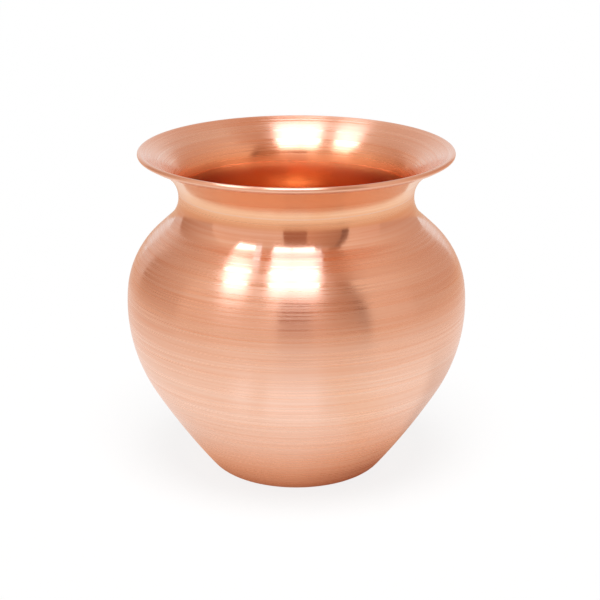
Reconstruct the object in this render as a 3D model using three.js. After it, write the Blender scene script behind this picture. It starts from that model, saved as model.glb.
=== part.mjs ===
import * as THREE from 'three';

// A copper lota: a round water pot with a pinched throat and a flared mouth, worked from sheet copper.
// Lengths are in millimetres and +Z is up. The origin is the centre of the base, on the table.
// As drawn, the pot is 116.5 mm tall, 120 mm across the belly and 110.5 mm across the rim.

// The sheet, and the seam between the pot and its mouth
const sheet = 0.9;
const seamWidth = 0.4;

// The base: a flat standing ring round a middle that is pressed slightly up
const baseFlatRadius = 24.3;
const standRingWidth = 5;
const dishRise = 1;
const dishEdgeRadius = 8;

// The outside of the wall: one arc after the other, from the base to the rim
const baseCornerRadius = 9.3;
const flankRadius = 253;
const bellyRadius = 57;
const shoulderRadius = 30.6;
const slopeRadius = 300;
const throatRadius = 11.9;
const flareRadius = 41;

// How steeply the outside climbs where one arc meets the next, from 0 flat to 90 upright and beyond
const flankFootTilt = 50.8;
const bellyFootTilt = 58.75;
const shoulderFootTilt = 95.8;
const slopeFootTilt = 136.8;
const throatFootTilt = 138.1;
const seamTilt = 80;
const flareFootTilt = 45;
const rimTilt = 28.2;

// The hem: how much of the edge is turned under to make the lip
const hemWidth = 3;

// How far a flat facet may lie inside the true curve, and how near two points count as one
const facetSag = 0.08;
const sameSpot = 0.0001;

// The facets in one turn of the pot, in the half round of the lip, and at least in any arc
const sidesAround = 72;
const lipFacets = 6;
const leastFacets = 2;

const radians = THREE.MathUtils.degToRad;

// The way out of the metal, square to a wall that climbs at this tilt
function outward(tilt) {
  return new THREE.Vector2(Math.sin(tilt), -Math.cos(tilt));
}

// A point of an arc, a given depth below its outside face
function arcPoint(arc, tilt, depth) {
  return outward(tilt).multiplyScalar(arc.bend * arc.radius - depth).add(arc.centre);
}

// Lays arcs end to end from a start point, each in line with the one before.
// An arc whose tilt grows bulges outwards, with a bend of 1, and the others are hollow, with a bend of -1.
function layArcs(start, startTilt, shapes) {
  let point = start;
  let tilt = startTilt;
  return shapes.map(({ radius, endTilt }) => {
    const bend = Math.sign(endTilt - tilt);
    const centre = outward(tilt).multiplyScalar(-bend * radius).add(point);
    const arc = { radius, bend, centre, startTilt: tilt, endTilt };
    point = arcPoint(arc, endTilt, 0);
    tilt = endTilt;
    return arc;
  });
}

// The tilt at which an arc, taken at this depth, passes a height
function tiltAtHeight(arc, height, depth) {
  return Math.acos((arc.centre.y - height) / (arc.bend * arc.radius - depth));
}

// The corner points of an arc's facets, from one tilt to another
function arcPoints(arc, depth, fromTilt = arc.startTilt, toTilt = arc.endTilt) {
  const reach = Math.abs(arc.bend * arc.radius - depth);
  const facetTurn = 2 * Math.acos(1 - facetSag / reach);
  const facets = Math.max(leastFacets, Math.ceil(Math.abs(toTilt - fromTilt) / facetTurn));
  const points = [];
  for (let i = 0; i <= facets; i += 1) {
    points.push(arcPoint(arc, THREE.MathUtils.lerp(fromTilt, toTilt, i / facets), depth));
  }
  return points;
}

// Turns a closed outline, drawn anticlockwise right of the axis, into a round solid about +Z
function turnedMesh(name, outline, material) {
  const points = outline.filter((point, i) => i === 0 || point.distanceTo(outline[i - 1]) > sameSpot);
  const geometry = new THREE.LatheGeometry(points, sidesAround);
  geometry.rotateX(Math.PI / 2);
  const mesh = new THREE.Mesh(geometry, material);
  mesh.name = name;
  return mesh;
}

// The pressed middle of the base: a shallow dome with a soft edge, out to the standing ring
const dishRadius = baseFlatRadius - standRingWidth;
const dishTilt = 2 * Math.atan(dishRise / dishRadius);
const dishArcs = layArcs(new THREE.Vector2(0, dishRise), 0, [
  { radius: dishRadius / Math.sin(dishTilt) - dishEdgeRadius, endTilt: -dishTilt },
  { radius: dishEdgeRadius, endTilt: 0 },
]);

// The outside of the wall from the standing ring to the rim
const wallArcs = layArcs(new THREE.Vector2(baseFlatRadius, 0), 0, [
  { radius: baseCornerRadius, endTilt: radians(flankFootTilt) },
  { radius: flankRadius, endTilt: radians(bellyFootTilt) },
  { radius: bellyRadius, endTilt: radians(shoulderFootTilt) },
  { radius: shoulderRadius, endTilt: radians(slopeFootTilt) },
  { radius: slopeRadius, endTilt: radians(throatFootTilt) },
  { radius: throatRadius, endTilt: radians(flareFootTilt) },
  { radius: flareRadius, endTilt: radians(rimTilt) },
]);
const potArcs = wallArcs.slice(0, 5);
const [throatArc, flareArc] = wallArcs.slice(5);

// The two edges in the throat are cut level, so that the seam between them is a flat ring
const seamFoot = arcPoint(throatArc, radians(seamTilt), 0).y;
const seamTop = seamFoot + seamWidth;

// One face of the pot's sheet, from the middle of the base up to the seam
function potFace(depth) {
  return [
    ...dishArcs.flatMap((arc) => arcPoints(arc, depth)),
    ...potArcs.flatMap((arc) => arcPoints(arc, depth)),
    ...arcPoints(throatArc, depth, throatArc.startTilt, tiltAtHeight(throatArc, seamFoot, depth)),
  ];
}

// The pot: base, flank, belly, shoulder and the lower half of the throat
function bodyShell() {
  const copper = new THREE.MeshStandardMaterial({ color: 0xd98e6c, roughness: 0.3, metalness: 1 });
  return turnedMesh('body_shell', [...potFace(0), ...potFace(sheet).reverse()], copper);
}

// One face of the collar's sheet, from the seam out to a given tilt of the flare
function collarFace(depth, endTilt) {
  return [
    ...arcPoints(throatArc, depth, tiltAtHeight(throatArc, seamTop, depth), throatArc.endTilt),
    ...arcPoints(flareArc, depth, flareArc.startTilt, endTilt),
  ];
}

// The half round that closes the hem at the rim, as thick as the two sheets
function lipPoints() {
  const middle = arcPoint(flareArc, flareArc.endTilt, 0);
  const points = [];
  for (let i = 1; i < lipFacets; i += 1) {
    points.push(outward(flareArc.endTilt + (Math.PI * i) / lipFacets).multiplyScalar(sheet).add(middle));
  }
  return points;
}

// The mouth: upper half of the throat, the flare, and its edge turned under to a closed hem
function neckCollar() {
  const copper = new THREE.MeshStandardMaterial({ color: 0xdc9472, roughness: 0.28, metalness: 1 });
  const hemTilt = flareArc.endTilt + hemWidth / flareArc.radius;
  const hemEdgeTilt = hemTilt - sheet / flareArc.radius;
  const outline = [
    ...collarFace(0, hemTilt),
    ...arcPoints(flareArc, -sheet, hemEdgeTilt, flareArc.endTilt),
    ...lipPoints(),
    ...collarFace(sheet, flareArc.endTilt).reverse(),
  ];
  return turnedMesh('neck_collar', [...outline, outline[0].clone()], copper);
}

// The brazing metal between the two cut edges, dressed flush with both faces of the sheet
function neckBraze() {
  const braze = new THREE.MeshStandardMaterial({ color: 0xe6ae84, roughness: 0.35, metalness: 1 });
  const corner = (height, depth) => arcPoint(throatArc, tiltAtHeight(throatArc, height, depth), depth);
  const outline = [
    corner(seamFoot, 0), corner(seamTop, 0), corner(seamTop, sheet), corner(seamFoot, sheet),
  ];
  return turnedMesh('neck_braze', [...outline, outline[0].clone()], braze);
}

const lota = new THREE.Group();
lota.add(bodyShell(), neckCollar(), neckBraze());

export default lota;
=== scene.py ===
import math
from typing import NamedTuple

import bmesh
import bpy
from bpy.props import FloatProperty, FloatVectorProperty, IntProperty, PointerProperty
from mathutils import Matrix, Vector


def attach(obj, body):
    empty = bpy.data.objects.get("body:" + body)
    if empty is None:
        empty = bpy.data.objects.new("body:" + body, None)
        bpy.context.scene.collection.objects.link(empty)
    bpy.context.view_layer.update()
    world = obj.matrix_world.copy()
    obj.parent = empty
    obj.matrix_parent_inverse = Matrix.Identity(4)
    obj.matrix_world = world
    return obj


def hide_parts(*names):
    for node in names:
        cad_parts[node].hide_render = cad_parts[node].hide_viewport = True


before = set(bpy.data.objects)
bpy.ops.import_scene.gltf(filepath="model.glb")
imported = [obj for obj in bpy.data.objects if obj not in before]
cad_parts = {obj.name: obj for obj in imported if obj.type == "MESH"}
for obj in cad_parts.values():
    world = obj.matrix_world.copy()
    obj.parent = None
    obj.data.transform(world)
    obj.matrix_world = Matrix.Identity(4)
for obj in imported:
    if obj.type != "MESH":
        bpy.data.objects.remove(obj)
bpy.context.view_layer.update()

bl_info = {
    "name": "Copper lota",
    "version": (1, 0, 0),
    "blender": (4, 5, 0),
    "location": "View3D > Sidebar > Lota",
    "description": "Turns a spun copper water pot, brushes it and lights it in a pale studio",
    "category": "Object",
}

MM = 0.001

# The name of the value that each corner keeps: 1 on the inner face of the sheet and 0 on the outer one
INNER_FACE = "inner_face"

# The places of the colour sockets on a Mix node, which has sockets for every type of data
MIX_FACTOR, MIX_FIRST, MIX_SECOND, MIX_RESULT = 0, 6, 7, 2

# How strong each finer layer of a noise is, and the middle that a noise swings round
FINER_NOISE_SHARE = 0.6
NOISE_MIDDLE = 0.5

# The turn, as a part of a full one, that stretches a highlight across the brushed lines
QUARTER_TURN = 0.25

# Soft edges in the finish: the heights in metres between which each part of it comes in or ends
FOOT_EDGE = (0.02, 0.045)
FLANK_EDGE = (0.065, 0.083)
SLOPE_FOOT = (0.0905, 0.093)
SLOPE_HEAD = (0.0985, 0.101)
THROAT_FOOT = (0.097, 0.101)
THROAT_HEAD = (0.1125, 0.1145)
UNDER_LIP_EDGE = (0.1, 0.1025)
MOUTH_EDGE = (0.103, 0.112)
LIP_EDGE = (0.1135, 0.115)

# How strong the brush marks are at the foot, and how much weaker they get on the slope, under the lip and in
# the throat
FOOT_STRENGTH = 0.55
SLOPE_CALM = 0.8
UNDER_LIP_CALM = 0.6
THROAT_CALM = 0.95

# How much rougher the flank and the lip are between the lines, and how much smoother the slope is
FLANK_MATT = 0.06
LIP_MATT = 0.1
SLOPE_SHINE = 0.065

# The clouds of uneven pressure: their size in metres, and how far they change the roughness
CLOUD_SIZE = 0.03
CLOUD_MATT = 0.04

# The noise at which the brazing metal is as matt as the copper, and how far its file marks change that
BRAZE_MIDDLE = 0.3
BRAZE_MATT = 0.3

# What the deepest lines in the throat leave of its colour
THROAT_LINES = (0.97, 0.89, 0.83)

# The cool white of the lamps and of the cards under the lip
LAMP_WHITE = (0.92, 1, 1.15)

# The belly's radius in metres, by which the pot's painted shadow and warm light on the floor are measured
BELLY_REACH = 0.06

# How many of the lip's small facets are as long as the sheet is thick
LIP_FACETS_IN_SHEET = 5

# The facets of the screens: rows from foot to head, and degrees round the pot
SCREEN_ROWS = 8
FACET_DEGREES = 5


def length(name, description, millimetres):
    """A property that holds a real length, given in millimetres and kept in metres."""
    return FloatProperty(
        name=name, description=description, default=millimetres * MM, min=0, unit="LENGTH", precision=5
    )


def angle(name, description, degrees):
    """A property that holds an angle, given in degrees."""
    return FloatProperty(name=name, description=description, default=math.radians(degrees), unit="ROTATION")


def share(name, description, default):
    """A property that holds a plain number from 0 to 1."""
    return FloatProperty(name=name, description=description, default=default, min=0, max=1)


def colour(name, description, default):
    """A property that holds a linear colour."""
    return FloatVectorProperty(
        name=name, description=description, default=default, subtype="COLOR", min=0, max=1
    )


class LotaSizes(bpy.types.PropertyGroup):
    """The pot's outline as a run of arcs, each in line with the one before, as the CAD model has it."""

    sheet: length("Sheet", "Thickness of the copper sheet", 0.9)
    seam_width: length("Seam width", "Height of the brazed seam in the throat", 0.4)
    base_flat_radius: length("Base radius", "Outer radius of the flat the pot stands on", 24.3)
    stand_ring_width: length("Standing ring", "Width of the flat ring under the pot", 5)
    dish_rise: length("Dish rise", "How far the middle of the base is pressed up", 1)
    dish_edge_radius: length("Dish edge", "Radius of the soft edge of the pressed middle", 8)
    base_corner_radius: length("Base corner", "Radius of the corner from base to flank", 9.3)
    flank_radius: length("Flank", "Radius of the nearly straight flank", 253)
    belly_radius: length("Belly", "Radius of the belly's outline", 57)
    shoulder_radius: length("Shoulder", "Radius of the shoulder's outline", 30.6)
    slope_radius: length("Slope", "Radius of the nearly straight slope above the shoulder", 300)
    throat_radius: length("Throat", "Radius of the hollow of the throat", 11.9)
    flare_radius: length("Flare", "Radius of the flare's outline", 41)
    flank_foot_tilt: angle("Flank foot", "Climb of the wall where the flank starts", 50.8)
    belly_foot_tilt: angle("Belly foot", "Climb of the wall where the belly starts", 58.75)
    shoulder_foot_tilt: angle("Shoulder foot", "Climb of the wall where the shoulder starts", 95.8)
    slope_foot_tilt: angle("Slope foot", "Climb of the wall where the slope starts", 136.8)
    throat_foot_tilt: angle("Throat foot", "Climb of the wall where the throat starts", 138.1)
    seam_tilt: angle("Seam", "Climb of the wall where the seam starts", 80)
    flare_foot_tilt: angle("Flare foot", "Climb of the wall where the flare starts", 45)
    rim_tilt: angle("Rim", "Climb of the wall at the rim", 28.2)
    hem_width: length("Hem", "How much of the edge is turned under at the rim", 3)
    facet_length: length("Facet length", "Length of one facet along the outline", 1)
    sides_around: IntProperty(name="Sides", description="Facets in one turn of the pot", default=256, min=24)


class CopperFinish(bpy.types.PropertyGroup):
    """The brushed copper and the brazing metal."""

    copper: colour("Copper", "Clean copper on the crests of the brushed lines", (0.955, 0.65, 0.508))
    copper_shade: colour("Copper in the lines", "Copper in the bottom of the lines", (0.905, 0.51, 0.352))
    # Partly the throat's copper that brushing hardly reaches, and partly painted light: brighter than the
    # brushed copper, so that the band under the lip reflects more light
    throat_copper_and_sheen: colour("Copper in the throat", "Copper that brushing hardly reaches", (1, 0.645, 0.425))
    # Painted inter-reflection: the copper inside the mouth is deepened to stand in for light bounced between
    # its walls
    flare_copper_and_bounce: colour("Copper in the mouth", "Warmer copper deep inside the flare", (0.94, 0.42, 0.21))
    inner_copper: colour("Copper inside", "Copper inside the belly, never brushed", (0.93, 0.49, 0.25))
    braze: colour("Braze", "The paler brazing metal of the seam", (0.95, 0.66, 0.47))
    roughness: share("Roughness", "How matt the copper is between the brushed lines", 0.185)
    line_roughness: share("Roughness of the lines", "How matt the copper is in the brushed lines", 0.305)
    inner_roughness: share("Roughness inside", "How matt the copper is inside the belly", 0.27)
    anisotropy: share("Stretch", "How far the brushed lines stretch a highlight", 0.92)
    line_spacing: length("Line spacing", "Distance between the fine brushed lines", 0.85)
    line_length: length("Line length", "How far a brushed line runs round the pot", 70)
    line_depth: length("Line depth", "Depth of the brushed lines", 0.006)


class StudioLight(bpy.types.PropertyGroup):
    """The camera, the floor, the lamps and the screens that the copper reflects."""

    camera_lens: length("Lens", "Focal length on a sensor 36 mm wide", 108.005)
    camera_distance: length("Camera distance", "From the camera to the point it looks at", 642.85)
    camera_height: angle("Camera height", "How steeply the camera looks down", 18.107)
    camera_aim_height: length("Aim height", "Height of the point that the camera looks at", 61.21)
    camera_aim_side: length("Aim side", "How far right of the pot's axis the camera looks", 1.282)
    floor: colour("Floor", "The pale floor", (0.98, 0.98, 0.98))
    room_light: share("Room light", "Even light on everything that isn't polished", 0.2)
    key_light: share("Key light", "Light from the front and above on everything that isn't polished", 0.82)
    floor_glow: share("Floor glow", "How far the floor is lifted to white where the camera sees it", 0.85)
    # The share of the floor that the copper sees as a glow with shadow and light painted on
    floor_painted_light: share("Floor warmth", "How far the copper sees the floor by its own glow", 0.75)
    key_height: angle("Key height", "How high the key light stands over the floor", 72)
    key_softness: angle("Key softness", "How wide the key light is, seen from the pot", 30)


class Arc(NamedTuple):
    """A stretch of the outline: bend is 1 where it bulges outwards and -1 where it is hollow."""

    radius: float
    bend: int
    centre: Vector
    start: float
    end: float


def outward(tilt):
    """The way out of the metal, square to a wall that climbs at this tilt."""
    return Vector((math.sin(tilt), -math.cos(tilt)))


def arc_point(arc, tilt, depth):
    """A point of an arc, a given depth below its outside face."""
    return arc.centre + outward(tilt) * (arc.bend * arc.radius - depth)


def lay_arcs(start, start_tilt, shapes):
    """Lays arcs of a given radius and end tilt end to end, each in line with the one before."""
    point, tilt, arcs = start, start_tilt, []
    for radius, end in shapes:
        bend = 1 if end > tilt else -1
        arc = Arc(radius, bend, point - outward(tilt) * (bend * radius), tilt, end)
        arcs.append(arc)
        point, tilt = arc_point(arc, end, 0), end
    return arcs


def tilt_at_height(arc, height, depth):
    """The tilt at which an arc, taken at this depth, passes a height."""
    return math.acos((arc.centre.y - height) / (arc.bend * arc.radius - depth))


class Profile:
    """The arcs of the pot's outside face and the heights of the seam, from the sizes."""

    def __init__(self, sizes):
        dish_radius = sizes.base_flat_radius - sizes.stand_ring_width
        dish_tilt = 2 * math.atan(sizes.dish_rise / dish_radius)
        cap_radius = dish_radius / math.sin(dish_tilt) - sizes.dish_edge_radius
        self.pole = Vector((0, sizes.dish_rise))
        self.dish = lay_arcs(self.pole, 0, [(cap_radius, -dish_tilt), (sizes.dish_edge_radius, 0)])
        self.wall_foot = Vector((sizes.base_flat_radius, 0))
        wall = lay_arcs(
            self.wall_foot,
            0,
            [
                (sizes.base_corner_radius, sizes.flank_foot_tilt),
                (sizes.flank_radius, sizes.belly_foot_tilt),
                (sizes.belly_radius, sizes.shoulder_foot_tilt),
                (sizes.shoulder_radius, sizes.slope_foot_tilt),
                (sizes.slope_radius, sizes.throat_foot_tilt),
                (sizes.throat_radius, sizes.flare_foot_tilt),
                (sizes.flare_radius, sizes.rim_tilt),
            ],
        )
        self.pot = wall[:5]
        self.throat, self.flare = wall[5:]
        self.seam_foot = arc_point(self.throat, sizes.seam_tilt, 0).y
        self.seam_top = self.seam_foot + sizes.seam_width


class Outline:
    """A chain of edges right of the axis that grows from its tip, and is then turned into a piece."""

    def __init__(self, start, facet_length):
        self.mesh = bmesh.new()
        self.start = self.mesh.verts.new((start.x, 0, start.y))
        self.tip = self.start
        self.facet_length = facet_length
        self.outer_points = 0

    def line(self, end):
        """Goes straight to a point."""
        self.tip = bmesh.ops.extrude_vert_indiv(self.mesh, verts=[self.tip])["verts"][0]
        self.tip.co = (end.x, 0, end.y)

    def sweep(self, centre, turn):
        """Goes round a centre, by an angle that is positive from straight down to straight out."""
        reach = (Vector((self.tip.co.x, self.tip.co.z)) - centre).length
        spun = bmesh.ops.spin(
            self.mesh,
            geom=[self.tip],
            cent=(centre.x, 0, centre.y),
            axis=(0, -1, 0),
            angle=turn,
            steps=max(2, math.ceil(abs(turn) * reach / self.facet_length)),
        )
        self.tip = next(part for part in spun["geom_last"] if isinstance(part, bmesh.types.BMVert))

    def go_inside(self):
        """Ends the outer face: what is drawn from here on is the inner one."""
        self.outer_points = len(self.mesh.verts)

    def close(self):
        """Joins the tip to the start."""
        self.mesh.edges.new((self.tip, self.start))

    def turned(self, name, sides, material):
        """Turns the chain right round the pot's axis into a closed piece with smooth faces."""
        same_spot = 1e-7
        crease = math.radians(30)
        mesh = self.mesh
        inner = mesh.verts.layers.float.new(INNER_FACE)
        for vert in list(mesh.verts)[self.outer_points:]:
            vert[inner] = 1
        bmesh.ops.spin(
            mesh,
            geom=list(mesh.verts) + list(mesh.edges),
            cent=(0, 0, 0),
            axis=(0, 0, 1),
            angle=math.tau,
            steps=sides,
            use_merge=True,
        )
        bmesh.ops.remove_doubles(mesh, verts=mesh.verts, dist=same_spot)
        bmesh.ops.recalc_face_normals(mesh, faces=mesh.faces)
        for face in mesh.faces:
            face.smooth = True
        for edge in mesh.edges:
            edge.smooth = edge.calc_face_angle(0) < crease
        data = bpy.data.meshes.new(name)
        mesh.to_mesh(data)
        mesh.free()
        data.materials.append(material)
        piece = bpy.data.objects.new(name, data)
        bpy.context.scene.collection.objects.link(piece)
        return piece


def stand_for(piece, node):
    """Lets a finished piece ride with the pot in place of its CAD node."""
    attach(piece, "root")
    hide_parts(node)


class Value:
    """An output socket that takes part in sums, each of which adds a Math node to its board."""

    def __init__(self, board, node, output=0):
        self.board = board
        self.node = node
        self.socket = node.outputs[output]

    def output(self, name):
        """Another output of the same node."""
        return Value(self.board, self.node, name)

    def __add__(self, other):
        return self.board.math("ADD", self, other)

    __radd__ = __add__

    def __sub__(self, other):
        return self.board.math("SUBTRACT", self, other)

    def __rsub__(self, other):
        return self.board.math("SUBTRACT", other, self)

    def __mul__(self, other):
        return self.board.math("MULTIPLY", self, other)

    __rmul__ = __mul__

    def __truediv__(self, other):
        return self.board.math("DIVIDE", self, other)

    def __rtruediv__(self, other):
        return self.board.math("DIVIDE", other, self)

    def __pow__(self, other):
        return self.board.math("POWER", self, other)

    def __rpow__(self, other):
        return self.board.math("POWER", other, self)


class Board:
    """The nodes of one material or world."""

    def __init__(self, owner):
        owner.use_nodes = True
        self.nodes = owner.node_tree.nodes
        self.links = owner.node_tree.links
        self.nodes.clear()

    def add(self, kind, settings=None, inputs=None):
        """Adds a node: first its settings, a ramp's stops among them, then its sockets' values or links."""
        node = self.nodes.new(kind)
        for name, setting in (settings or {}).items():
            if name == "stops":
                self.set_stops(node.color_ramp, setting)
            else:
                setattr(node, name, setting)
        for name, value in (inputs or {}).items():
            socket = node.inputs[name]
            if isinstance(value, Value):
                self.links.new(value.socket, socket)
            else:
                socket.default_value = value
        return Value(self, node) if node.outputs else node

    @staticmethod
    def set_stops(ramp, stops):
        """Fills a ramp with stops, each a place and a linear colour."""
        while len(ramp.elements) > 1:
            ramp.elements.remove(ramp.elements[-1])
        for i, (place, tone) in enumerate(stops):
            stop = ramp.elements[0] if i == 0 else ramp.elements.new(place)
            stop.position = place
            stop.color = (*tone, 1)

    def math(self, operation, *values):
        """A Math node, on links or numbers."""
        return self.add("ShaderNodeMath", {"operation": operation}, dict(enumerate(values)))

    def mix(self, factor, first, second, blend="MIX"):
        """A colour between two, each a linear colour or a link, or one with the other laid over it."""
        settings = {"data_type": "RGBA", "clamp_factor": True, "blend_type": blend}
        ends = [end if isinstance(end, Value) else (*end, 1) for end in (first, second)]
        inputs = {MIX_FACTOR: factor, MIX_FIRST: ends[0], MIX_SECOND: ends[1]}
        return self.add("ShaderNodeMix", settings, inputs).output(MIX_RESULT)

    def mix_shader(self, share, first, second):
        """The first shader, with the second in its place by a share from 0 to 1."""
        return self.add("ShaderNodeMixShader", inputs={0: share, 1: first, 2: second})

    def cover(self, shader):
        """Lets a shader cover the surface of what has this material."""
        self.add("ShaderNodeOutputMaterial", inputs={"Surface": shader})

    def steps(self, value, low, high):
        """0 below low, 1 above high, and a soft rise between them."""
        settings = {"interpolation_type": "SMOOTHSTEP"}
        return self.add("ShaderNodeMapRange", settings, {"Value": value, "From Min": low, "From Max": high})

    def between(self, value, rise, fall):
        """1 between two soft edges, each given by its low and its high end, and 0 outside them."""
        return self.steps(value, *rise) - self.steps(value, *fall)


class Place:
    """Where on the pot a point is, in metres: height, distance from the axis, and the plain coordinates."""

    def __init__(self, board):
        self.board = board
        self.point = board.add("ShaderNodeTexCoord").output("Object")
        self.x = board.add("ShaderNodeSeparateXYZ", inputs={"Vector": self.point})
        self.y = self.x.output("Y")
        self.height = self.x.output("Z")
        self.radius = (self.x * self.x + self.y * self.y) ** 0.5

    def above(self, edge):
        """0 below a soft edge, given by its low and its high end, and 1 above it."""
        return self.board.steps(self.height, *edge)

    def rings(self, spacing, run, detail, shift=0):
        """Noise drawn out into lines round the axis: spacing apart up the wall, and run long round it.

        Lines that share these but have another shift come out in other places.
        """
        stretched = self.board.add(
            "ShaderNodeCombineXYZ",
            inputs={"X": self.x / run + shift, "Y": self.y / run, "Z": self.height / spacing},
        )
        return self.board.add(
            "ShaderNodeTexNoise",
            {"noise_dimensions": "4D"},
            {
                "Vector": stretched,
                "W": self.radius / spacing,
                "Scale": 1,
                "Detail": detail,
                "Roughness": FINER_NOISE_SHARE,
            },
        )

    def clouds(self, size):
        """Soft noise of the same size in all directions."""
        return self.board.add(
            "ShaderNodeTexNoise", inputs={"Vector": self.point, "Scale": 1 / size, "Detail": 2}
        )


def metal(board, tone, roughness, relief, finish):
    """Finishes a material as brushed metal with lines round the axis."""
    normal = board.add(
        "ShaderNodeBump", inputs={"Strength": 1, "Distance": finish.line_depth, "Height": relief}
    )
    surface = board.add(
        "ShaderNodeBsdfPrincipled",
        inputs={
            "Base Color": tone,
            "Metallic": 1,
            "Roughness": roughness,
            "Anisotropic": finish.anisotropy,
            "Anisotropic Rotation": QUARTER_TURN,
            "Normal": normal,
        },
    )
    board.cover(surface)


def inner_face(board):
    """1 on the inner face of the sheet and 0 on the outer one."""
    return board.add("ShaderNodeAttribute", {"attribute_name": INNER_FACE}).output("Fac")


class Brushwork:
    """The marks of the brush on a piece: lines of several widths, nicks, and clouds of uneven pressure."""

    def __init__(self, place, finish):
        board = place.board
        spacing, run = finish.line_spacing, finish.line_length
        coarseness, hair_width = 2.5, 0.7
        nick_edge, line_edge = (0.66, 0.72), (0.36, 0.54)
        self.fine = place.rings(spacing, run, detail=0)
        self.grain = place.rings(spacing, run, detail=1, shift=33)
        self.coarse = place.rings(spacing * coarseness, run * coarseness, detail=1, shift=9)
        hairs = place.rings(spacing * hair_width, run, detail=0, shift=57)
        self.nicks = board.steps(place.rings(spacing, run / 2, detail=0, shift=21), *nick_edge)
        self.lines = board.steps(self.fine * 0.35 + self.coarse * 0.1 + hairs * 0.55, *line_edge)
        self.clouds = place.clouds(CLOUD_SIZE)
        self.strength = FOOT_STRENGTH + place.above(FOOT_EDGE) * (1 - FOOT_STRENGTH)
        self.throat = board.between(place.height, THROAT_FOOT, THROAT_HEAD)


def copper_tone(board, place, marks, inner, inner_tone, finish):
    """The copper's colour: brushed light and dark, clearer in the throat, where it is partly painted light,
    and deeper inside, where in the mouth it is painted inter-reflection.
    """
    swing = (marks.grain - NOISE_MIDDLE) * 1.5 + (marks.coarse - NOISE_MIDDLE) * 0.8 - marks.nicks * 0.2
    shine = NOISE_MIDDLE + swing * marks.strength
    brushed = board.mix(shine, tuple(finish.copper_shade), tuple(finish.copper))
    # Clearer copper in the throat, partly painted light that brightens the band under the lip
    throat = marks.throat * (1 - inner)
    outer = board.mix(throat, brushed, tuple(finish.throat_copper_and_sheen))
    outer = board.mix(throat * (1 - shine), outer, THROAT_LINES, "MULTIPLY")
    # Deeper tone inside: in the mouth this is painted inter-reflection, light bounced between its walls
    deep = 1 - place.above(MOUTH_EDGE)
    return board.mix(inner * deep, outer, tuple(inner_tone))


def copper_roughness(board, place, marks, inner, dull_inside, finish):
    """How matt the copper is: rougher on the flank and the lip, smoother on the slope."""
    outer = 1 - inner
    flank = 1 - place.above(FLANK_EDGE)
    slope = board.between(place.height, SLOPE_FOOT, SLOPE_HEAD) * outer
    under_lip = place.above(UNDER_LIP_EDGE) * outer
    lip = place.above(LIP_EDGE) * outer
    smooth = finish.roughness + flank * FLANK_MATT - slope * SLOPE_SHINE + lip * LIP_MATT
    pressure = 1 - SLOPE_CALM * slope - UNDER_LIP_CALM * under_lip
    uneven = (marks.clouds - NOISE_MIDDLE) * CLOUD_MATT
    brushed = smooth + marks.lines * pressure * (finish.line_roughness - smooth) + uneven
    return brushed + inner * dull_inside * (finish.inner_roughness - brushed)


def brushed_copper(name, finish, inner_tone, dull_inside):
    """Copper with brushed lines round the axis: deeper in tone inside, and dull inside the belly."""
    material = bpy.data.materials.new(name)
    board = Board(material)
    place = Place(board)
    inner = inner_face(board)
    marks = Brushwork(place, finish)
    tone = copper_tone(board, place, marks, inner, inner_tone, finish)
    roughness = copper_roughness(board, place, marks, inner, dull_inside, finish)
    scratches = (marks.fine + marks.coarse * 0.3 - marks.nicks * 0.35) * marks.strength
    relief = scratches * (1 - marks.throat * (1 - inner) * THROAT_CALM)
    metal(board, tone, roughness, relief, finish)
    return material


def brazing_metal(name, finish):
    """The brazing metal, filed flush along the seam."""
    material = bpy.data.materials.new(name)
    board = Board(material)
    fine = Place(board).rings(finish.line_spacing / 2, finish.line_length / 2, detail=3)
    outer = board.mix(fine, tuple(finish.copper), tuple(finish.braze))
    # The seam's inner face takes the mouth's tone, with its painted inter-reflection
    tone = board.mix(inner_face(board), outer, tuple(finish.flare_copper_and_bounce))
    roughness = finish.roughness + (fine - BRAZE_MIDDLE) * BRAZE_MATT
    metal(board, tone, roughness, fine, finish)
    return material


class LOTA_OT_turn_body(bpy.types.Operator):
    """Turn the pot's body: base, flank, belly, shoulder and the lower half of the throat"""

    bl_idname = "lota.turn_body"
    bl_label = "Body"

    def execute(self, context):
        sizes = context.scene.lota_sizes
        shape = Profile(sizes)
        outline = Outline(shape.pole, sizes.facet_length)
        for arc in shape.dish:
            outline.sweep(arc.centre, arc.end - arc.start)
        outline.line(shape.wall_foot)
        for arc in shape.pot:
            outline.sweep(arc.centre, arc.end - arc.start)
        cut = tilt_at_height(shape.throat, shape.seam_foot, 0)
        outline.sweep(shape.throat.centre, cut - shape.throat.start)
        inner_cut = tilt_at_height(shape.throat, shape.seam_foot, sizes.sheet)
        outline.go_inside()
        outline.line(arc_point(shape.throat, inner_cut, sizes.sheet))
        outline.sweep(shape.throat.centre, shape.throat.start - inner_cut)
        for arc in reversed(shape.pot):
            outline.sweep(arc.centre, arc.start - arc.end)
        outline.line(arc_point(shape.dish[-1], 0, sizes.sheet))
        for arc in reversed(shape.dish):
            outline.sweep(arc.centre, arc.start - arc.end)
        finish = context.scene.copper_finish
        copper = brushed_copper("body_copper", finish, finish.inner_copper, dull_inside=1)
        stand_for(outline.turned("lota_body", sizes.sides_around, copper), "body_shell")
        return {"FINISHED"}


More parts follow.
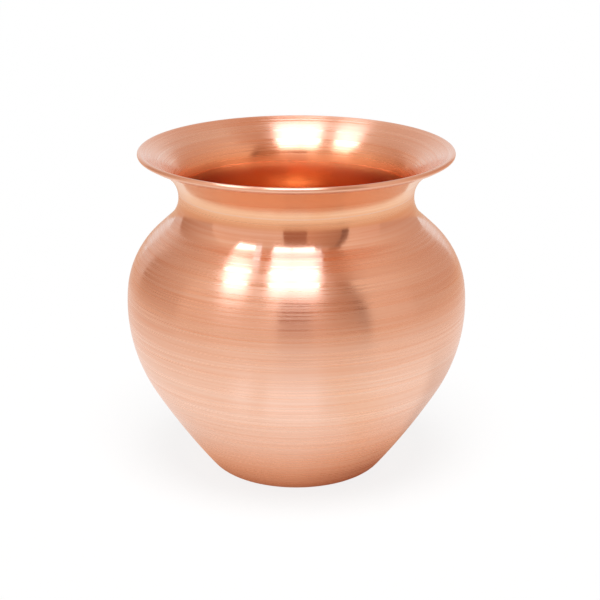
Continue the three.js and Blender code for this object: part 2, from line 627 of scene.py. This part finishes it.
class LOTA_OT_turn_collar(bpy.types.Operator):
    """Turn the mouth: upper half of the throat, the flare, and its edge turned under to a lip"""

    bl_idname = "lota.turn_collar"
    bl_label = "Collar"

    def execute(self, context):
        sizes = context.scene.lota_sizes
        shape = Profile(sizes)
        throat, flare = shape.throat, shape.flare
        cut = tilt_at_height(throat, shape.seam_top, 0)
        inner_cut = tilt_at_height(throat, shape.seam_top, sizes.sheet)
        hem_tilt = flare.end + sizes.hem_width / flare.radius
        hem_edge_tilt = hem_tilt - sizes.sheet / flare.radius
        outline = Outline(arc_point(throat, cut, 0), sizes.facet_length)
        outline.sweep(throat.centre, throat.end - cut)
        outline.sweep(flare.centre, hem_tilt - flare.start)
        outline.line(arc_point(flare, hem_edge_tilt, -sizes.sheet))
        outline.sweep(flare.centre, flare.end - hem_edge_tilt)
        outline.facet_length = sizes.sheet / LIP_FACETS_IN_SHEET
        outline.sweep(arc_point(flare, flare.end, 0), math.pi)
        outline.facet_length = sizes.facet_length
        outline.go_inside()
        outline.sweep(flare.centre, flare.start - flare.end)
        outline.sweep(throat.centre, inner_cut - throat.end)
        outline.close()
        finish = context.scene.copper_finish
        copper = brushed_copper("collar_copper", finish, finish.flare_copper_and_bounce, dull_inside=0)
        stand_for(outline.turned("lota_collar", sizes.sides_around, copper), "neck_collar")
        return {"FINISHED"}


class LOTA_OT_turn_seam(bpy.types.Operator):
    """Turn the ring of brazing metal between the body and the collar"""

    bl_idname = "lota.turn_seam"
    bl_label = "Seam"

    def execute(self, context):
        sizes = context.scene.lota_sizes
        shape = Profile(sizes)

        def tilt(height, depth):
            return tilt_at_height(shape.throat, height, depth)

        foot, top = shape.seam_foot, shape.seam_top
        outline = Outline(arc_point(shape.throat, tilt(foot, 0), 0), sizes.facet_length)
        outline.sweep(shape.throat.centre, tilt(top, 0) - tilt(foot, 0))
        outline.go_inside()
        outline.line(arc_point(shape.throat, tilt(top, sizes.sheet), sizes.sheet))
        outline.sweep(shape.throat.centre, tilt(foot, sizes.sheet) - tilt(top, sizes.sheet))
        outline.close()
        braze = brazing_metal("seam_braze", context.scene.copper_finish)
        stand_for(outline.turned("lota_seam", sizes.sides_around, braze), "neck_braze")
        return {"FINISHED"}


def facing(azimuth, elevation):
    """The direction at an azimuth right of the camera and an elevation, both in degrees."""
    turn, rise = math.radians(azimuth), math.radians(elevation)
    return Vector((math.sin(turn) * math.cos(rise), -math.cos(turn) * math.cos(rise), math.sin(rise)))


def reflected_only(thing):
    """Shows a lamp or a screen in the copper alone: it neither lights the floor nor throws a shadow."""
    thing.visible_camera = False
    thing.visible_shadow = False
    thing.visible_diffuse = False
    thing.visible_transmission = False


def stage_piece(name, mesh, material):
    """Makes a finished mesh a piece of the stage."""
    data = bpy.data.meshes.new(name)
    mesh.to_mesh(data)
    mesh.free()
    data.materials.append(material)
    thing = bpy.data.objects.new(name, data)
    bpy.context.scene.collection.objects.link(thing)
    return thing


def glow_material(name):
    """A new material that shines without being searched for as a lamp, and the board of its nodes."""
    material = bpy.data.materials.new(name)
    material.cycles.emission_sampling = "NONE"
    return material, Board(material)


def screen_glow(name, azimuths, elevations, foot, head):
    """The glow of a screen: its tone is its brightness, given at both ends of its foot and of its head."""
    material, board = glow_material(name)
    place = Place(board)
    (left, right), (low, high) = azimuths, elevations
    azimuth = board.math("ARCTAN2", place.x, 0 - place.y)
    across = (azimuth - math.radians(left)) / math.radians(right - left)
    elevation = board.math("ARCTAN2", place.height, place.radius)
    rise = (elevation - math.radians(low)) / math.radians(high - low)
    tone = board.mix(rise, board.mix(across, *foot), board.mix(across, *head))
    board.cover(board.add("ShaderNodeEmission", inputs={"Color": tone, "Strength": 1}))
    return material


def screen(name, azimuths, elevations, foot, head, distance=3):
    """A curved screen round the pot between two azimuths and two elevations, its tones left to right."""
    (left, right), (low, high) = azimuths, elevations
    corner = facing(left, low) * distance
    mesh = bmesh.new()
    bmesh.ops.spin(
        mesh,
        geom=[mesh.verts.new(corner)],
        cent=(0, 0, 0),
        axis=corner.cross(Vector((0, 0, 1))),
        angle=math.radians(high - low),
        steps=SCREEN_ROWS,
    )
    bmesh.ops.spin(
        mesh,
        geom=list(mesh.verts) + list(mesh.edges),
        cent=(0, 0, 0),
        axis=(0, 0, 1),
        angle=math.radians(right - left),
        steps=max(2, math.ceil((right - left) / FACET_DEGREES)),
    )
    material = screen_glow(name + "_tone", azimuths, elevations, foot, head)
    reflected_only(stage_piece(name, mesh, material))


def hanging_ring(inner, outer, start=-180, turn=360):
    """A ring, or part of one from an azimuth on, that faces down, its edges given by radius and height."""
    mesh = bmesh.new()
    edges = (inner, outer)
    first, second = [facing(start, 0) * radius + Vector((0, 0, height)) for radius, height in edges]
    edge = bmesh.ops.extrude_vert_indiv(mesh, verts=[mesh.verts.new(first)])["verts"][0]
    edge.co = second
    bmesh.ops.spin(
        mesh,
        geom=list(mesh.verts) + list(mesh.edges),
        cent=(0, 0, 0),
        axis=(0, 0, 1),
        angle=math.radians(turn),
        steps=math.ceil(turn / FACET_DEGREES),
        use_merge=turn == 360,
    )
    mesh.normal_update()
    bmesh.ops.reverse_faces(mesh, faces=[face for face in mesh.faces if face.normal.z > 0])
    return mesh


def lip_card(name, outer_height, start, turn, level):
    """A card under the lip that shines down on the shoulder, as the lamps would if the lip were away."""
    material, board = glow_material(name + "_tone")
    clear = board.add("ShaderNodeBsdfTransparent")
    light = board.add("ShaderNodeEmission", inputs={"Color": (*LAMP_WHITE, 1), "Strength": level})
    behind = board.add("ShaderNodeNewGeometry").output("Backfacing")
    board.cover(board.mix_shader(behind, light, clear))
    inner, outer = (46.5 * MM, 106 * MM), (54.5 * MM, outer_height)
    reflected_only(stage_piece(name, hanging_ring(inner, outer, start, turn), material))


def table_screen(tone, clear_radius, full_radius):
    """A ring just over the floor that is clear near the pot and takes on the tone of the walls far out."""
    height, reach = 0.5 * MM, 3
    material, board = glow_material("table_tone")
    clear = board.add("ShaderNodeBsdfTransparent")
    light = board.add("ShaderNodeEmission", inputs={"Color": (*tone, 1), "Strength": 1})
    far_out = board.steps(Place(board).radius, clear_radius, full_radius)
    board.cover(board.mix_shader(far_out, clear, light))
    ring = hanging_ring((clear_radius, height), (reach, height))
    reflected_only(stage_piece("table_screen", ring, material))


def painted_floor_light(board):
    """The floor as the copper shows it, with light painted on: the pot's dark shadow and warm light close to
    it, and patches of other light and shade.
    """
    place = Place(board)
    x, y, radius = place.x, place.y, place.radius
    # Painted shadow and warm light of the pot: dark and warm close to it, reaching a little further out on
    # the right
    out = radius - board.math("MAXIMUM", x, 0) * 0.18
    stops = ((0.43, (0.3, 0.08, 0.03)), (0.62, (0.9, 0.55, 0.36)), (0.9, (1, 1, 1)))
    sheen = board.add("ShaderNodeValToRGB", {"stops": stops}, {"Fac": out / BELLY_REACH})
    # Painted reflections of the lamps: two brighter patches in front of the pot, a wide one and a narrow one
    # on its left
    wide = board.between(x, (-0.03, -0.022), (0.016, 0.024))
    narrow = board.between(x, (-0.064, -0.056), (-0.044, -0.036))
    depth = board.between(y, (-0.115, -0.1), (-0.078, -0.064))
    sheen = board.mix((wide + narrow) * depth, sheen, (1.18, 1.3, 1.42))
    # Painted shade: a warmer, darker strip in front on the right
    strip = board.between(x, (0.026, 0.036), (0.056, 0.075))
    painted_warm_shade = strip * (1 - board.steps(y, -0.045, -0.03)) * (1 - board.steps(radius, 0.13, 0.17))
    sheen = board.mix(painted_warm_shade, sheen, (0.97, 0.88, 0.78), "MULTIPLY")
    # Painted shade: a warmer, dimmer floor far out in front
    ahead = board.steps(radius, 0.12, 0.2) * (1 - board.steps(y, -0.12, -0.06))
    sheen = board.mix(ahead, sheen, (1, 0.925, 0.855), "MULTIPLY")
    # The pot's painted shadow: a darker patch close to it on the right
    beside = board.steps(x, 0.02, 0.05) * board.steps(y, -0.01, 0.01)
    painted_shadow = beside * (1 - board.steps(radius, 0.11, 0.15))
    return board.mix(painted_shadow, sheen, (0.76, 0.72, 0.7), "MULTIPLY")


def lamp(name, start, end, width, level):
    """A soft rectangular lamp between two ends that faces the pot: level 1 is as bright as lit paper."""
    run = (end - start).length
    data = bpy.data.lights.new(name, "AREA")
    data.shape = "RECTANGLE"
    data.size = width
    data.size_y = run
    data.color = LAMP_WHITE
    data.energy = level * math.pi * width * run
    thing = bpy.data.objects.new(name, data)
    centre = (start + end) / 2
    along = (end - start).normalized()
    side = along.cross(centre).normalized()
    turn = Matrix((side, along, side.cross(along))).transposed()
    thing.matrix_world = Matrix.Translation(centre) @ turn.to_4x4()
    bpy.context.scene.collection.objects.link(thing)
    reflected_only(thing)


class LOTA_OT_set_stage(bpy.types.Operator):
    """Set the camera, the floor, the lamps and the screens that the copper reflects"""

    bl_idname = "lota.set_stage"
    bl_label = "Stage"

    def execute(self, context):
        studio = context.scene.studio_light
        self.set_camera(context.scene, studio)
        self.lay_floor(studio)
        self.light_room(context.scene, studio)
        self.hang_key_light(context.scene, studio)
        self.hang_lamps()
        self.stand_screens()
        context.scene.view_settings.view_transform = "Standard"
        context.scene.cycles.glossy_bounces = 8
        context.scene.cycles.max_bounces = 12
        return {"FINISHED"}

    @staticmethod
    def set_camera(scene, studio):
        """A camera that looks down at the pot from the front, level from side to side."""
        camera = bpy.data.objects.new("camera", bpy.data.cameras.new("camera"))
        camera.data.lens = studio.camera_lens / MM
        aim = Vector((studio.camera_aim_side, 0, studio.camera_aim_height))
        back = Vector((0, -math.cos(studio.camera_height), math.sin(studio.camera_height)))
        camera.location = aim + back * studio.camera_distance
        camera.rotation_euler = (math.pi / 2 - studio.camera_height, 0, 0)
        scene.collection.objects.link(camera)
        scene.camera = camera

    @staticmethod
    def lay_floor(studio):
        """A round floor a hair under the pot: white for the camera, and for the copper a glow with its
        shadow and light painted on.
        """
        mesh = bmesh.new()
        below = Matrix.Translation((0, 0, -0.02 * MM))
        bmesh.ops.create_circle(mesh, cap_ends=True, segments=96, radius=6, matrix=below)
        material = bpy.data.materials.new("floor_paper")
        board = Board(material)
        camera_ray = board.add("ShaderNodeLightPath")
        glossy_ray = camera_ray.output("Is Glossy Ray")
        paper = board.add("ShaderNodeBsdfDiffuse", inputs={"Color": (*studio.floor, 1)})
        # For the copper the floor glows with a painted shadow, painted warm light and painted reflections of
        # the lamps
        tone = board.mix(glossy_ray, (1, 1, 1), painted_floor_light(board))
        glow = board.add("ShaderNodeEmission", inputs={"Color": tone, "Strength": 1})
        lift = camera_ray * studio.floor_glow + glossy_ray * studio.floor_painted_light
        board.cover(board.mix_shader(lift, paper, glow))
        stage_piece("floor", mesh, material)

    @staticmethod
    def light_room(scene, studio):
        """An even light: white where it is seen or reflected, and dimmer where it lights a surface."""
        scene.world = bpy.data.worlds.new("studio")
        board = Board(scene.world)
        camera_ray = board.add("ShaderNodeLightPath")
        seen = camera_ray + camera_ray.output("Is Glossy Ray") + camera_ray.output("Is Transmission Ray")
        strength = board.math("MAXIMUM", seen, studio.room_light)
        room = board.add("ShaderNodeBackground", inputs={"Color": (1, 1, 1, 1), "Strength": strength})
        board.add("ShaderNodeOutputWorld", inputs={"Surface": room})

    @staticmethod
    def hang_key_light(scene, studio):
        """A soft light from the front and above that the copper doesn't show."""
        data = bpy.data.lights.new("key_light", "SUN")
        data.energy = studio.key_light * math.pi / math.sin(studio.key_height)
        data.angle = studio.key_softness
        light = bpy.data.objects.new("key_light", data)
        light.rotation_euler = (math.pi / 2 - studio.key_height, 0, 0)
        light.visible_glossy = False
        scene.collection.objects.link(light)

    @staticmethod
    def hang_lamps():
        """Lamps that only the copper shows: a pair side by side overhead, and a strip on the left."""
        front, rear = facing(0, 55) * 1.08, facing(180, 86) * 1.62
        left, right = Vector((-0.167, 0, 0)), Vector((0.09, 0, 0))
        lamp("overhead_left_lamp", front + left, rear + left, width=0.215, level=3.6)
        lamp("overhead_right_lamp", front + right, rear + right, width=0.275, level=3.6)
        lamp("side_lamp", facing(-52, 46) * 1.45, facing(-114, 69) * 1.49, width=0.33, level=3)

    @staticmethod
    def stand_screens():
        """The room as the copper shows it: walls all round, a ceiling, the table far out, and two cards."""
        edge = (0.24, 0.13, 0.1)
        dark = (0.41, 0.19, 0.12)
        shade = (0.45, 0.25, 0.17)
        orange = (0.66, 0.38, 0.26)
        rust = (0.63, 0.42, 0.33)
        tan = (0.75, 0.52, 0.42)
        pink = (0.72, 0.59, 0.55)
        pale = (0.82, 0.6, 0.49)
        gold = (0.92, 0.7, 0.56)
        white = (0.88, 0.92, 0.97)
        wall, ceiling = (0, 62), (62, 90)
        screen("left_far_screen", (-133, -85), wall, (shade, rust), (rust, gold))
        screen("left_screen", (-85, -38), wall, (pale, pale), (gold, pale))
        screen("front_left_screen", (-38, -12), (0, 50), (pale, pale), (pale, pale))
        screen("camera_screen", (-12, 10), (0, 37), (dark, dark), (dark, dark))
        screen("front_high_screen", (-12, 22), (37, 52), (shade, shade), (orange, orange))
        screen("front_right_screen", (10, 43), (0, 52), (orange, shade), (orange, shade))
        screen("dark_edge_screen", (43, 50), (0, 50), (edge, edge), (edge, shade))
        screen("dark_head_screen", (40, 54), (50, 74), (shade, shade), (orange, orange), distance=2.9)
        screen("right_screen", (50, 85), wall, (pale, tan), (gold, pale))
        screen("right_far_screen", (85, 150), wall, (rust, rust), (gold, rust))
        screen("rear_screen", (150, 210), wall, (white, white), (tan, tan))
        screen("rear_left_screen", (210, 227), wall, (pink, pink), (pale, tan))
        screen("upper_screen", (-40, 60), (45, 64), (tan, tan), (tan, tan), distance=3.4)
        screen("right_ceiling", (22, 180), ceiling, (orange, orange), (orange, orange), distance=3.5)
        screen("left_ceiling", (180, 382), ceiling, (pale, pale), (pale, pale), distance=3.5)
        table_screen((0.74, 0.48, 0.33), clear_radius=0.07, full_radius=0.5)
        lip_card("lip_card", outer_height=112 * MM, start=-14, turn=29, level=1.65)
        lip_card("side_lip_card", outer_height=107 * MM, start=-24, turn=4, level=1.4)


class LOTA_PT_sidebar(bpy.types.Panel):
    """The pot's pieces and its stage"""

    bl_idname = "LOTA_PT_sidebar"
    bl_label = "Copper lota"
    bl_space_type = "VIEW_3D"
    bl_region_type = "UI"
    bl_category = "Lota"

    def draw(self, context):
        for group in (context.scene.lota_sizes, context.scene.copper_finish, context.scene.studio_light):
            box = self.layout.box()
            for name in group.__annotations__:
                box.prop(group, name)
        for operator in OPERATORS:
            self.layout.operator(operator.bl_idname)


GROUPS = {"lota_sizes": LotaSizes, "copper_finish": CopperFinish, "studio_light": StudioLight}
OPERATORS = (LOTA_OT_turn_body, LOTA_OT_turn_collar, LOTA_OT_turn_seam, LOTA_OT_set_stage)


def register():
    for cls in (*GROUPS.values(), *OPERATORS, LOTA_PT_sidebar):
        bpy.utils.register_class(cls)
    for name, group in GROUPS.items():
        setattr(bpy.types.Scene, name, PointerProperty(type=group))


def unregister():
    for name in GROUPS:
        delattr(bpy.types.Scene, name)
    for cls in reversed((*GROUPS.values(), *OPERATORS, LOTA_PT_sidebar)):
        bpy.utils.unregister_class(cls)


def main():
    register()
    bpy.ops.lota.set_stage()
    bpy.ops.lota.turn_body()
    bpy.ops.lota.turn_collar()
    bpy.ops.lota.turn_seam()


if __name__ == "__main__":
    main()
